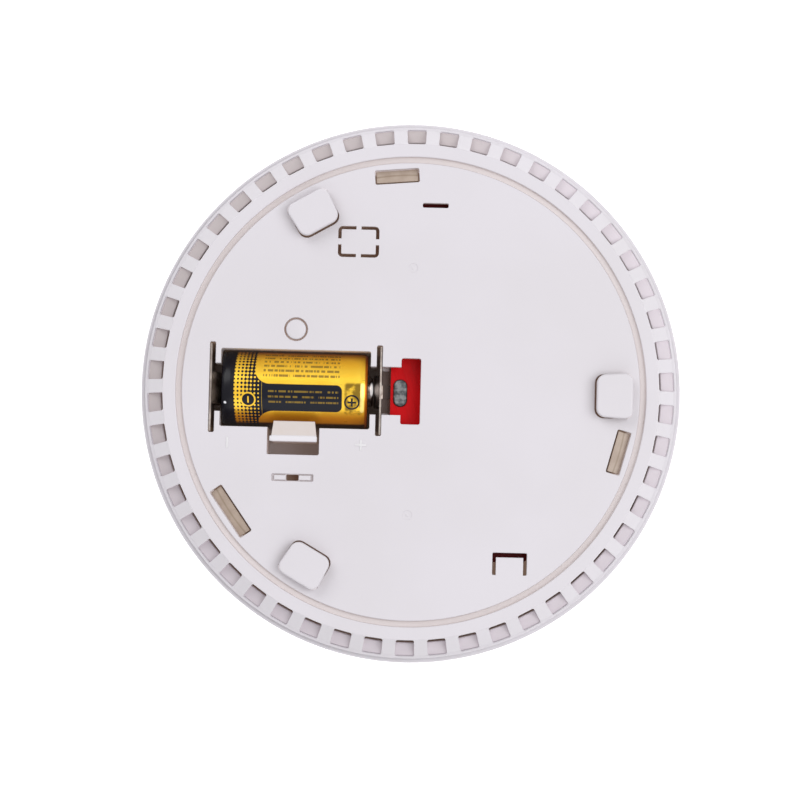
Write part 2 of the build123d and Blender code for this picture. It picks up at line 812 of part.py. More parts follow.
with BuildPart() as light_pipe:
    with BuildSketch(Plane.XY.offset(0.25)):
        with Locations(lamp_centre):
            Circle(lamp_r)
    extrude(amount=board_under - 3.6 - 0.25)
    fillet(light_pipe.faces().sort_by(Axis.Z)[0].edges(), radius=0.4)
finish(light_pipe, "light_pipe")
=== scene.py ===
from math import cos, pi, radians, sin, tan

import bpy
from mathutils import Matrix, Vector


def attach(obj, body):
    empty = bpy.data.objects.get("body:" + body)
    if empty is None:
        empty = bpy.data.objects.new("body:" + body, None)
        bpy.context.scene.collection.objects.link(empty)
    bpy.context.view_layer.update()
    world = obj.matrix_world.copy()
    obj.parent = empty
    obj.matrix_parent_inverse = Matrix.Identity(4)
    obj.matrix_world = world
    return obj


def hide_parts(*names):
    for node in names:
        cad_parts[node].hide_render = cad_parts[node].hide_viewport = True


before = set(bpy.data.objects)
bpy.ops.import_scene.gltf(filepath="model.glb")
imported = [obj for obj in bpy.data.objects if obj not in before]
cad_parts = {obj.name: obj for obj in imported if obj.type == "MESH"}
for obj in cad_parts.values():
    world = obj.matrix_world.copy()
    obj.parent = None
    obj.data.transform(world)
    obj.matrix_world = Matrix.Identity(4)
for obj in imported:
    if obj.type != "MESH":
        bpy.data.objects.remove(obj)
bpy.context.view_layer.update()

mm = 0.001


# ---- Front cover
# The bowl that faces the room, injection moulded in white ABS with a fine satin texture. It carries
# the test button, the sound slots and the lamp, and three tall hooks that snap into the rear shell.
rim_r = 60.0
rim_top = 27.0
rear_z = 34.0
cover_t = 2.2
flange_z = 24.8
shelf_r = (55.3, 58.25)
shelf_z = (30.4, 28.95)
hook_top = 33.3
hook_neck = 32.0
hook_r = 46.5
hook_t = 1.5
snaps = [(95, 9.8), (215, 12.2), (345, 9.8)]
button_r = 13.0
button_gap = 0.35
sounder_place = (-12.0, 29.0)
sound_slot = (15.0, 1.5)
sound_pitch = 3.6
lamp_place = (3.0, -19.0)
lamp_r = 1.5
turn_steps = 360


def rounded(corners):
    """The points of an outline whose corners (x, z, radius) are rounded with short arcs."""
    points = []
    for index, (x, z, radius) in enumerate(corners):
        here = Vector((x, z))
        if radius == 0:
            points.append((x, z))
            continue
        before = (Vector(corners[index - 1][:2]) - here).normalized()
        after = (Vector(corners[(index + 1) % len(corners)][:2]) - here).normalized()
        half = before.angle(after) / 2
        start = here + before * (radius / tan(half))
        centre = here + (before + after).normalized() * (radius / sin(half))
        sweep = pi - 2 * half
        side = 1 if before.x * after.y - before.y * after.x < 0 else -1
        steps = max(2, round(sweep / radians(15)))
        for step in range(steps + 1):
            arm = Matrix.Rotation(side * sweep * step / steps, 2) @ (start - centre)
            points.append(tuple(centre + arm))
    return points


def select_none():
    """Leave edit mode with nothing selected."""
    if bpy.context.mode != "OBJECT":
        bpy.ops.object.mode_set(mode="OBJECT")
    bpy.ops.object.select_all(action="DESELECT")


def named(name):
    """Leave edit mode and give the piece that was just made its name."""
    piece = bpy.context.object
    select_none()
    piece.name = piece.data.name = name
    return piece


def turned(name, points, steps=turn_steps, closed=False):
    """A ring of edges, extruded and resized from point to point (radius, height) in millimetres.
    A closed outline's last ring is bridged to its first, and an open one's ends are filled."""
    select_none()
    radius, height = points[0]
    bpy.ops.mesh.primitive_circle_add(
        vertices=steps, radius=radius * mm, fill_type="NOTHING" if closed else "NGON",
        enter_editmode=True,
    )
    bpy.ops.transform.translate(value=(0, 0, height * mm))
    for next_radius, next_height in points[1:]:
        if closed:
            bpy.ops.mesh.extrude_edges_move()
        else:
            bpy.ops.mesh.extrude_region_move()
        grow = next_radius / radius
        bpy.ops.transform.resize(value=(grow, grow, 1), center_override=(0, 0, height * mm))
        bpy.ops.transform.translate(value=(0, 0, (next_height - height) * mm))
        radius, height = next_radius, next_height
    if closed:
        bpy.ops.mesh.select_all(action="SELECT")
        bpy.ops.mesh.select_non_manifold()
        bpy.ops.mesh.select_all(action="DESELECT")
        bpy.ops.mesh.select_non_manifold()
        bpy.ops.mesh.bridge_edge_loops()
    bpy.ops.mesh.select_all(action="SELECT")
    bpy.ops.mesh.normals_make_consistent()
    return named(name)


def block(name, x, y, z, edge=0.0, steps=2):
    """A box between two places on each axis, in millimetres, with its edges rounded."""
    select_none()
    bpy.ops.mesh.primitive_cube_add(size=1, enter_editmode=True)
    bpy.ops.transform.resize(value=tuple((b - a) * mm for a, b in (x, y, z)))
    bpy.ops.transform.translate(value=tuple((a + b) / 2 * mm for a, b in (x, y, z)))
    if edge:
        bpy.ops.mesh.bevel(offset=edge * mm, segments=steps, affect="EDGES")
    return named(name)


def place(piece, turn=0.0, centre=(0, 0)):
    """Turn a piece about the vertical, move it sideways, and settle that in its mesh."""
    select_none()
    piece.select_set(True)
    bpy.context.view_layer.objects.active = piece
    shift = Matrix.Translation((centre[0] * mm, centre[1] * mm, 0))
    piece.data.transform(shift @ Matrix.Rotation(radians(turn), 4, "Z"))
    return piece


def joined(pieces, name):
    """Several pieces made one object."""
    select_none()
    for piece in pieces:
        piece.select_set(True)
    bpy.context.view_layer.objects.active = pieces[0]
    bpy.ops.object.join()
    return named(name)


def carve(piece, tools, operation="DIFFERENCE"):
    """Cut the tools out of a piece, or weld them to it, and remove them."""
    group = bpy.data.collections.new("tools")
    bpy.context.scene.collection.children.link(group)
    for tool in tools:
        for owner in list(tool.users_collection):
            owner.objects.unlink(tool)
        group.objects.link(tool)
    modifier = piece.modifiers.new("carve", "BOOLEAN")
    modifier.operand_type = "COLLECTION"
    modifier.collection = group
    modifier.operation = operation
    modifier.solver = "EXACT"
    select_none()
    bpy.context.view_layer.objects.active = piece
    piece.select_set(True)
    bpy.ops.object.modifier_apply(modifier="carve")
    for tool in tools:
        bpy.data.meshes.remove(tool.data)
    bpy.data.collections.remove(group)
    return piece


def smoothed(piece, angle=35):
    """Smooth shading up to an angle, with broad faces kept flat beside their rounded edges."""
    select_none()
    piece.select_set(True)
    bpy.context.view_layer.objects.active = piece
    bpy.ops.object.shade_smooth_by_angle(angle=radians(angle))
    modifier = piece.modifiers.new("weights", "WEIGHTED_NORMAL")
    modifier.keep_sharp = True
    modifier.weight = 100
    bpy.ops.object.modifier_apply(modifier="weights")
    return piece


class Wire:
    """A value on its way through a material, whose + - * / and comparisons add Math nodes."""

    def __init__(self, paint, socket):
        self.paint = paint
        self.socket = socket

    def math(self, operation, *others, first=None):
        values = [self if first is None else first, *others]
        return self.paint.node("ShaderNodeMath", {"operation": operation}, dict(enumerate(values)))

    def __add__(self, other):
        return self.math("ADD", other)

    def __sub__(self, other):
        return self.math("SUBTRACT", other)

    def __mul__(self, other):
        return self.math("MULTIPLY", other)

    def __truediv__(self, other):
        return self.math("DIVIDE", other)

    def __gt__(self, other):
        return self.math("GREATER_THAN", other)

    def __lt__(self, other):
        return self.math("LESS_THAN", other)

    def __rsub__(self, other):
        return self.math("SUBTRACT", self, first=other)

    def __rtruediv__(self, other):
        return self.math("DIVIDE", self, first=other)

    __radd__ = __add__
    __rmul__ = __mul__

    def ramp(self, low, high):
        """0 below low, 1 above high, and a smooth step between."""
        settings = {"interpolation_type": "SMOOTHSTEP"}
        return self.paint.node("ShaderNodeMapRange", settings, {0: self, 1: low, 2: high})

    def power(self, exponent):
        return self.math("POWER", exponent)

    def either(self, other):
        return self.math("MAXIMUM", other)

    def both(self, other):
        return self.math("MINIMUM", other)


class Paint:
    """A material around one Principled shader."""

    def __init__(self, name, **constants):
        self.material = bpy.data.materials.new(name)
        self.material.use_nodes = True
        self.tree = self.material.node_tree
        self.shader = self.tree.nodes["Principled BSDF"]
        for socket, value in constants.items():
            self.put(self.shader.inputs[socket.replace("_", " ")], value)

    def put(self, socket, value):
        """Link a value that varies to a socket, or set one that doesn't."""
        if isinstance(value, Wire):
            self.tree.links.new(value.socket, socket)
        else:
            socket.default_value = value

    def node(self, kind, settings=None, sockets=None, output=0):
        """A new node with its settings and sockets, given as one of its outputs."""
        node = self.tree.nodes.new(kind)
        for key, value in (settings or {}).items():
            setattr(node, key, value)
        for key, value in (sockets or {}).items():
            self.put(node.inputs[key], value)
        return Wire(self, node.outputs[output])

    def place(self):
        """Object coordinates, in metres."""
        return self.node("ShaderNodeTexCoord", output=3)

    def axes(self):
        """The three Object coordinates in millimetres, each as a number."""
        parts = self.node("ShaderNodeSeparateXYZ", sockets={0: self.place()})
        outputs = parts.socket.node.outputs
        return [Wire(self, outputs[i]) / mm for i in range(3)]

    def noise(self, per_mm, detail=2.0, roughness=0.5, stretch=None):
        """Soft random values around 0.5, with per_mm lumps to the millimetre."""
        where = self.place()
        if stretch:
            where = self.node("ShaderNodeMapping", sockets={"Vector": where, "Scale": stretch})
        scale = per_mm / mm
        return self.node(
            "ShaderNodeTexNoise",
            sockets={"Vector": where, "Scale": scale, "Detail": detail, "Roughness": roughness},
        )

    def mix(self, amount, first, second):
        """One colour turning into another as amount goes from 0 to 1."""
        return self.node(
            "ShaderNodeMix", {"data_type": "RGBA"}, {0: amount, 6: first, 7: second}, output=2
        )

    def bump(self, height, depth_mm, strength=1.0):
        """The surface raised by a height from 0 to 1, times a depth."""
        self.put(
            self.shader.inputs["Normal"],
            self.node(
                "ShaderNodeBump",
                sockets={"Strength": strength, "Distance": depth_mm * mm, "Height": height},
            ),
        )

    def surface(self, **varying):
        """Put values on the shader's sockets, named with _ for each space."""
        for socket, value in varying.items():
            self.put(self.shader.inputs[socket.replace("_", " ")], value)
        return self


def tint(red, green, blue):
    """A colour as it looks on a screen, from 0 to 255, made linear."""
    return tuple((value / 255) ** 2.2 for value in (red, green, blue)) + (1.0,)


def coat(piece, paint, body, slot_name, *nodes):
    """Give a piece its material and its body, and hide the CAD nodes that it stands for; its slot
    name is not used.
    """
    piece.data.materials.clear()
    piece.data.materials.append(paint.material)
    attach(piece, body)
    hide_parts(*nodes)
    return piece


def white_plastic(name, gloss):
    """Moulded ABS before its colour: faint flow marks in its gloss, and fine spark-eroded grain."""
    paint = Paint(
        name, Specular_IOR_Level=0.42, Emission_Strength=1.0, Emission_Color=tint(0, 0, 0)
    )
    cloud = paint.noise(0.03, detail=3.0)
    grain = paint.noise(3.2, detail=3.0, roughness=0.6)
    paint.surface(Roughness=gloss + (cloud - 0.5) * 0.1 + (grain - 0.5) * 0.12)
    paint.bump(grain, 0.006, strength=0.6)
    return paint


def seep(paint, amount, strength, pale=0.0):
    """A painted glow: emission that stands in for the warm light that seeps through thin walls
    into places that the studio light can't reach, and for the paler light that bounces about in
    shallow openings."""
    warm = paint.mix(amount * strength, tint(0, 0, 0), tint(152, 126, 106))
    paint.surface(Emission_Color=paint.mix(pale, warm, tint(186, 180, 183)))


cover_outline = rounded([
    (button_r + button_gap, 0.0, 0.7),
    (46.5, 0.0, 9.0),
    (56.4, 19.8, 6.0),
    (57.5, flange_z, 0.8),
    (rim_r, flange_z, 0.5),
    (rim_r, rim_top, 0.5),
    (shelf_r[1], rim_top, 0.0),
    (shelf_r[1], shelf_z[1], 0.0),
    (shelf_r[0], shelf_z[0], 0.3),
    (shelf_r[0], 25.2, 4.0),
    (54.3, 20.3, 4.0),
    (45.0, cover_t, 7.0),
    (button_r + button_gap, cover_t, 0.0),
])
cover = turned("front_shell", cover_outline, closed=True)
holes = []
for row in range(-2, 3):
    slot_x = sounder_place[0]
    slot_y = sounder_place[1] + row * sound_pitch
    holes.append(block(
        "slot", (slot_x - sound_slot[0] / 2, slot_x + sound_slot[0] / 2),
        (slot_y - sound_slot[1] / 2, slot_y + sound_slot[1] / 2), (-1, cover_t + 1),
        edge=0.7, steps=4))
holes.append(place(turned("lamp_hole", [(lamp_r, -1), (lamp_r, 8)], 48), centre=lamp_place))
carve(cover, holes)

guide_r = (15.0, 16.2)
guide_h = 6.0
guide = turned("guide", [
    (guide_r[1], cover_t - 0.3), (guide_r[1], guide_h), (guide_r[0], guide_h),
    (guide_r[0], cover_t - 0.3),
], 128, closed=True)
hooks = []
for hook_angle, window_width in snaps:
    half = window_width / 2 - 0.3
    arm = block("arm", (hook_r, hook_r + hook_t), (-half, half), (4.5, hook_neck), edge=0.15)
    head = block("head", (hook_r, hook_r + 2.6), (-half, half), (hook_neck - 0.1, hook_top),
                 edge=0.12)
    for vertex in head.data.vertices:
        outer = vertex.co.x > (hook_r + hook_t + 0.4) * mm
        if outer and vertex.co.z > (hook_neck + 0.6) * mm:
            vertex.co.z -= 0.55 * mm
    for piece in (arm, head):
        hooks.append(place(piece, turn=hook_angle))
cover = smoothed(joined([cover, guide, *hooks], "front_shell"))
# The cover's plastic, with painted shade on the hooks and on the shelf under the smoke openings
cover_white = white_plastic("cover_white", 0.42)
x, y, z = cover_white.axes()
reach = (x * x + y * y).math("SQRT")
# Painted shade on the hooks seen through the snap windows: beige, with a darker line at their edge
hook_shade_zone = (1 - reach.ramp(49.4, 49.6)) * z.ramp(28.0, 30.0)
# Painted shade on the shelf under the smoke openings, darker towards the upper left
baffle_zone = z.ramp(27.6, 28.2) * reach.ramp(54.0, 54.5)
cloud = cover_white.noise(0.4, detail=3.0)
hook_shade_tone = cover_white.mix(cloud.ramp(0.3, 0.7), tint(148, 132, 120), tint(160, 145, 133))
hook_shade_line = 1 - (reach - 48.0).math("ABSOLUTE").ramp(0.12, 0.22)
hook_shade_tone = cover_white.mix(hook_shade_line * 0.5, hook_shade_tone, tint(112, 96, 78))
plain_white = cover_white.mix(cloud.ramp(0.3, 0.7), tint(198, 194, 199), tint(201, 197, 203))
cover_white.surface(Base_Color=cover_white.mix(
    hook_shade_zone,
    cover_white.mix(
        baffle_zone, plain_white,
        cover_white.mix((y - x).ramp(10.0, 60.0), tint(197, 189, 196), tint(178, 169, 170))),
    hook_shade_tone))
# Painted glow: warm on the inside of the bowl, the shelf and the hooks, and paler on the shelf
# towards the right
inside = z.ramp(1.9, 2.15) * (1 - (reach - z * 0.5).ramp(44.4, 44.6)) * (1 - z.ramp(20.0, 24.0))
bright_side = (x * 0.7 + y * 0.4).ramp(20.0, 62.0)
seep(
    cover_white, baffle_zone * 0.03 + hook_shade_zone * 0.08 + inside * 0.3, 1.0,
    baffle_zone * bright_side * 0.2)
coat(cover, cover_white, "detector", "housing_white", "front_cover")


# ---- Rear shell
# The ceiling-side moulding in the same white ABS: a flat plate with a groove, a rim and a sloping
# band of smoke openings, three bayonet lugs, and the battery bay hanging below the plate.
plate_under = 32.0
groove_r = (50.6, 52.0)
groove_floor = 33.0
ring_r = 54.8
band_r = 58.3
band_z = 29.4
band_slope = (rear_z - band_z) / (band_r - ring_r)
window_count = 50
window_width = 4.15
window_corner = 0.28
lug_r = (40.9, 48.9)
lug_width = (9.3, 10.2)
lug_z = (rear_z + 1.6, rear_z + 3.0)
bay_x = (-42.1, -9.0)
bay_y = 8.6
bay_floor = 16.8
neck_y = 5.3
slit_y = 10.0
left_slit = (-44.6, -43.3)
right_slit = (-7.7, -6.4)
pocket_x = (-31.5, -20.0)
pocket_y = -14.6
wall = 1.5
bay_outside = (-46.1, -4.9)
bay_under = 15.3
opening_x = (-2.2, 2.1)
opening_y = 7.3
passage_z = 26.0


def mouth(size, centre, depth, corner=0.2, turn=0.0, flare=0.16, arc_steps=4, top=rear_z):
    """A cutter for an opening in the rear plate, whose upper edge it leaves rounded."""
    width, length = size
    lift = 1.0
    select_none()
    bpy.ops.mesh.primitive_plane_add(size=1, enter_editmode=True)
    bpy.ops.transform.resize(value=((width + 2 * flare) * mm, (length + 2 * flare) * mm, 1))
    if corner:
        bpy.ops.mesh.bevel(affect="VERTICES", offset=(corner + flare) * mm, segments=arc_steps)
    bpy.ops.transform.translate(value=(0, 0, (top + lift) * mm))
    bpy.ops.mesh.extrude_region_move(TRANSFORM_OT_translate={"value": (0, 0, -lift * mm)})
    grown = flare
    fallen = 0.0
    flare_steps = 3 if flare else 0
    for step in range(1, flare_steps + 1):
        angle = step / flare_steps * pi / 2
        next_grown = flare * (1 - sin(angle))
        next_fallen = flare * (1 - cos(angle))
        bpy.ops.mesh.extrude_region_move(
            TRANSFORM_OT_translate={"value": (0, 0, (fallen - next_fallen) * mm)}
        )
        bpy.ops.transform.resize(
            value=(
                (width + 2 * next_grown) / (width + 2 * grown),
                (length + 2 * next_grown) / (length + 2 * grown),
                1,
            ),
            center_override=(0, 0, 0),
        )
        grown, fallen = next_grown, next_fallen
    bpy.ops.mesh.extrude_region_move(
        TRANSFORM_OT_translate={"value": (0, 0, (fallen - depth) * mm)}
    )
    bpy.ops.mesh.select_all(action="SELECT")
    bpy.ops.mesh.normals_make_consistent()
    return place(named("mouth"), turn, centre)


def mouth_between(x, y, bottom, **more):
    """A mouth cutter between two places on each axis, down to a height."""
    size = (x[1] - x[0], y[1] - y[0])
    return mouth(size, (sum(x) / 2, sum(y) / 2), rear_z - bottom, **more)


def flat_outline(name, corners, radius, low, high, edge=0.0):
    """A flat outline (x, y) with rounded corners, made a slab whose upper edge is rounded."""
    select_none()
    bpy.ops.mesh.primitive_circle_add(vertices=len(corners), fill_type="NGON")
    piece = bpy.context.object
    for vertex, (x, y) in zip(piece.data.vertices, corners):
        vertex.co = (x * mm, y * mm, low * mm)
    bpy.ops.object.mode_set(mode="EDIT")
    bpy.ops.mesh.select_all(action="SELECT")
    bpy.ops.mesh.bevel(affect="VERTICES", offset=radius * mm, offset_type="OFFSET", segments=8)
    bpy.ops.mesh.select_all(action="SELECT")
    bpy.ops.mesh.extrude_region_move(TRANSFORM_OT_translate={"value": (0, 0, (high - low) * mm)})
    if edge:
        bpy.ops.mesh.bevel(offset=edge * mm, segments=4, affect="EDGES")
    bpy.ops.mesh.select_all(action="SELECT")
    bpy.ops.mesh.normals_make_consistent()
    return named(name)


rear_outline = rounded([
    (30.0, rear_z, 0.0),
    (groove_r[0], rear_z, 0.22),
    (groove_r[0] + 0.15, groove_floor, 0.15),
    (groove_r[1] - 0.1, groove_floor, 0.15),
    (groove_r[1], rear_z, 0.22),
    (ring_r, rear_z, 0.3),
    (band_r, band_z, 0.2),
    (59.0, band_z - 0.5, 0.3),
    (59.0, rim_top + 0.05, 0.0),
    (band_r, rim_top + 0.05, 0.0),
    (band_r, 29.0, 0.0),
    (band_r - 1.0, 29.8, 0.0),
    (ring_r, rear_z - 1.8, 0.0),
    (ring_r, 31.2, 0.0),
    (ring_r - 1.2, 31.2, 0.0),
    (ring_r - 1.2, plate_under - 1, 0.0),
    (groove_r[0] - 1, plate_under - 1, 0.0),
    (groove_r[0] - 2, plate_under, 0.0),
    (30.0, plate_under, 0.0),
])
rear = turned("rear_shell", rear_outline)

blocks = [
    block("bay_block", bay_outside, (-bay_y - wall, bay_y + wall),
          (bay_under, plate_under + 0.1)),
    block("left_block", (bay_outside[0], -42.0), (-slit_y - wall, slit_y + wall),
          (bay_under + 0.01, plate_under + 0.1)),
    block("right_block", (-9.1, bay_outside[1]), (-slit_y - wall, slit_y + wall),
          (bay_under + 0.01, plate_under + 0.1)),
    block("pocket_block", (pocket_x[0] - wall, pocket_x[1] + wall), (pocket_y - wall, -bay_y),
          (bay_under + 0.02, plate_under + 0.1)),
]
for spot in ((36.0, 22.0), (-33.0, 26.5), (-6.0, -40.0)):
    boss = turned("boss", [(3.0, 29.0), (3.0, plate_under + 0.1)], 48)
    blocks.append(place(boss, centre=spot))
for snap_angle, snap_width in snaps:
    seat = block("seat", (45.0, 50.1), (-snap_width / 2 - 1.2, snap_width / 2 + 1.2), (31.02, 32.1))
    blocks.append(place(seat, turn=snap_angle))
carve(rear, blocks, "UNION")

# Openings of the battery bay, its contact slits, the latch pocket and the soldering opening
mouths = [
    mouth_between(bay_x, (-bay_y, bay_y), bay_floor, corner=0.3),
    mouth_between((-43.8, -41.8), (-neck_y, neck_y), bay_floor, corner=0.0),
    mouth_between((-9.3, -7.2), (-neck_y, neck_y), bay_floor, corner=0.0),
    mouth_between(left_slit, (-slit_y, slit_y), bay_floor, corner=0.25),
    mouth_between(right_slit, (-slit_y, slit_y), bay_floor, corner=0.25),
    mouth_between((-6.9, -1.8), (-neck_y, neck_y), passage_z, corner=0.0),
    mouth_between(opening_x, (-opening_y, opening_y), passage_z, corner=0.3),
    mouth_between(pocket_x, (pocket_y, -7.9), bay_floor, corner=0.25),
]

# Smoke openings: one cutter, sheared to follow the sloping band, and its copies round the rim
window_mid = (ring_r + band_r) / 2 + 0.08
window_length = band_r - ring_r + 0.04
window = mouth(
    (window_length, window_width), (window_mid, 0), 5.2, corner=window_corner, flare=0.12)
for vertex in window.data.vertices:
    radius = vertex.co.x / mm
    vertex.co.z -= band_slope * (radius - ring_r) * mm
    vertex.co.y *= 1 + (radius - window_mid) / window_mid
for number in range(window_count):
    copy = window.copy()
    copy.data = window.data.copy()
    bpy.context.scene.collection.objects.link(copy)
    mouths.append(place(copy, turn=360 / window_count * (number + 0.5)))
bpy.data.meshes.remove(window.data)

# Windows under the lug heads and over the snap hooks
lug_window = (5.75, 9.75)
lug_window_r = 43.5
snap_inner_r = 46.2
for number in range(3):
    turn = 120 * number
    spot = (lug_window_r * cos(radians(turn)), lug_window_r * sin(radians(turn)))
    mouths.append(mouth(lug_window, spot, 3.5, corner=1.9, turn=turn, flare=0.1))
for snap_angle, snap_width in snaps:
    for snap_outer_r, depth in ((49.3, 1.6), (48.4, 3.2)):
        middle = (snap_inner_r + snap_outer_r) / 2
        spot = (middle * cos(radians(snap_angle)), middle * sin(radians(snap_angle)))
        size = (snap_outer_r - snap_inner_r, snap_width)
        mouths.append(mouth(size, spot, depth, corner=0.2, turn=snap_angle))

# Small openings: pairing button, locking tongue, sight slot, bridge slot and its open middle
pair_place = (-25.7, 13.15)
pair_hole = 5.2
tongue_x = (18.85, 26.45)
tongue_y = (-40.0, -35.1)
sight_place = (4.5, 41.3)
sight_slot = (5.7, 1.0)
bridge_place = (-25.7, -19.65)
bridge_slot = (9.2, 1.6)
bridge_middle = (2.7, 1.35)
mouths += [
    mouth((pair_hole, pair_hole), pair_place, 3.0, corner=2.58, arc_steps=12),
    mouth_between(tongue_x, tongue_y, 31.0, corner=0.15),
    mouth(sight_slot, sight_place, 3.0, corner=0.2),
    mouth(bridge_slot, bridge_place, 0.9, corner=0.15),
    mouth(bridge_middle, bridge_place, 3.0, corner=0.1),
]

# Knock-out: four bent slots leave a small panel on four thin bridges
knock_place = (-12.35, 32.85)
knock_half = (4.55, 3.45)
knock_line = 0.75
knock_bridge = (0.55, 0.65)
knock_corner = 1.0
for turn_x in (1, -1):
    for turn_y in (1, -1):
        select_none()
        bpy.ops.mesh.primitive_plane_add(size=knock_line * mm, enter_editmode=True)
        bpy.ops.transform.rotate(value=pi / 2, orient_axis="Y", center_override=(0, 0, 0))
        bpy.ops.transform.translate(
            value=(knock_bridge[0] * mm, (knock_half[1] - knock_line / 2) * mm, rear_z * mm)
        )
        bpy.ops.transform.resize(value=(1, 1, 8), center_override=(0, 0, rear_z * mm))
        run = knock_half[0] - knock_corner - knock_bridge[0]
        bpy.ops.mesh.extrude_region_move(TRANSFORM_OT_translate={"value": (run * mm, 0, 0)})
        bend = ((knock_half[0] - knock_corner) * mm, (knock_half[1] - knock_corner) * mm, 0)
        bpy.ops.mesh.spin(steps=5, angle=pi / 2, axis=(0, 0, 1), center=bend)
        run = knock_half[1] - knock_corner - knock_bridge[1]
        bpy.ops.mesh.extrude_region_move(TRANSFORM_OT_translate={"value": (0, -run * mm, 0)})
        bpy.ops.mesh.select_all(action="SELECT")
        bpy.ops.transform.resize(value=(turn_x, turn_y, 1), center_override=(0, 0, 0))
        bpy.ops.mesh.remove_doubles(threshold=0.01 * mm)
        bpy.ops.mesh.normals_make_consistent()
        mouths.append(place(named("knock_slot"), centre=knock_place))

# Gate marks, shallow rings left by the moulding
gate_places = [(-0.15, 27.3), (-0.15, -27.3)]
for spot in gate_places:
    mouths.append(mouth((2.0, 2.0), spot, 0.1, corner=0.98, arc_steps=8, flare=0.08))
carve(rear, mouths)

# Raised details: lugs, pads in the bridge slot, gate nubs and the polarity marks
lugs = []
for number in range(3):
    head = flat_outline("head", [
        (lug_r[0], -lug_width[0] / 2), (lug_r[1], -lug_width[1] / 2),
        (lug_r[1], lug_width[1] / 2), (lug_r[0], lug_width[0] / 2),
    ], 1.9, lug_z[0], lug_z[1], edge=0.45)
    stem = flat_outline("stem", [
        (46.4, -lug_width[1] / 2 + 0.15), (lug_r[1] - 0.05, -lug_width[1] / 2 + 0.05),
        (lug_r[1] - 0.05, lug_width[1] / 2 - 0.05), (46.4, lug_width[1] / 2 - 0.15),
    ], 1.4, rear_z - 0.5, lug_z[0] + 0.4, edge=0.0)
    lugs += [place(stem, turn=120 * number), place(head, turn=120 * number)]
details = []
for side in (-1, 1):
    pad_x = bridge_place[0] + side * 2.75
    details.append(block("pad", (pad_x - 1.3, pad_x + 1.3),
                         (bridge_place[1] - 0.52, bridge_place[1] + 0.52), (32.5, 33.8), edge=0.12))
for spot in gate_places:
    nub = turned("nub", [(0.4, 33.5), (0.4, 33.93), (0.3, 33.98)], 20)
    details.append(place(nub, centre=spot))
for x, y, across, along, top in (
    (-10.8, -12.1, 2.5, 0.5, 34.12), (-10.8, -12.1, 0.5, 2.5, 34.1),
    (-40.3, -12.2, 0.5, 2.5, 34.12),
):
    details.append(block("mark", (x - across / 2, x + across / 2), (y - along / 2, y + along / 2),
                         (33.5, top), edge=0.08))
rear = smoothed(joined([rear, *lugs, *details], "rear_shell"))
# The shell's plastic, with a painted glow where light seeps into its openings and under the lug
# heads, and painted shade in the groove and in the passage of the contact
shell_white = white_plastic("shell_white", 0.42)
x, y, z = shell_white.axes()
reach = (x * x + y * y).math("SQRT")
inner = 1 - reach.ramp(49.5, 50.0)
beside_cell = 1 - (x + 24.55).math("ABSOLUTE").ramp(20.1, 20.2)
beside_cell = beside_cell * (1 - y.math("ABSOLUTE").ramp(8.5, 8.7))
sunlit = (y * 0.6 - x * 0.8).ramp(-40.0, 30.0)
window_walls = reach.ramp(54.9, 55.0) * (1 - (reach * band_slope + z).ramp(105.2, 105.9))
window_walls = window_walls * (1 - reach.ramp(58.5, 58.7))
wall_light = window_walls * (0.2 + reach.ramp(56.0, 57.2).either(sunlit) * 0.6)
glow = (1 - z.ramp(32.4, 33.9)) * inner * (1 - beside_cell * 0.75)
under_lugs = z.ramp(34.1, 34.3) * (1 - z.ramp(36.0, 36.5)) * 0.9
groove = reach.ramp(50.4, 50.6) * (1 - reach.ramp(52.0, 52.2)) * (1 - z.ramp(33.6, 34.0))
# Painted glow in the shell's openings, the groove and under the lug heads, paler on the window
# walls towards the light
seep(
    shell_white, glow.either(groove * 0.5).either(under_lugs), 0.12 + z.ramp(20.0, 33.0) * 0.22,
    wall_light)
# Painted shade in the groove: a warmer, darker white
groove_shade = reach.ramp(50.5, 50.7) * (1 - reach.ramp(51.9, 52.1)) * (1 - z.ramp(33.5, 33.95))
# Painted shade: the passage beside the positive contact made dark brown
passage = (1 - (x + 5.6).math("ABSOLUTE").ramp(1.45, 1.55)) * (1 - z.ramp(29.0, 32.0))
passage = passage * (1 - y.math("ABSOLUTE").ramp(4.6, 4.8)) * z.ramp(25.2, 25.6)
# Painted highlight: the raised polarity marks made paler than the plate
marks = z.ramp(34.04, 34.08) * (1 - z.ramp(34.2, 34.3))
cloud = shell_white.noise(0.03, detail=3.0)
plain_white = shell_white.mix(cloud.ramp(0.3, 0.7), tint(197, 193, 198), tint(200, 196, 202))
plain_white = shell_white.mix(passage * 0.95, plain_white, tint(72, 52, 46))
plain_white = shell_white.mix(marks, plain_white, tint(205, 203, 206))
shell_white.surface(Base_Color=shell_white.mix(
    groove_shade * (0.24 + cloud * 0.3), plain_white, tint(192, 183, 179)))
coat(rear, shell_white, "detector", "housing_white", "rear_housing")


# ---- Battery latch
# A springy arm of the rear moulding that stands in its pocket and hooks over the cell. Its sloping
# face lets a new cell push past, and the ridge behind it is where a fingernail pulls.
latch_profile = [
    (-11.7, 17.2), (-11.7, 33.75), (-11.5, 33.9), (-10.55, 33.9), (-10.3, 33.7),
    (-7.25, 32.98), (-7.12, 32.8), (-7.2, 32.58), (-9.4, 31.6), (-10.3, 30.5), (-10.3, 17.2),
]


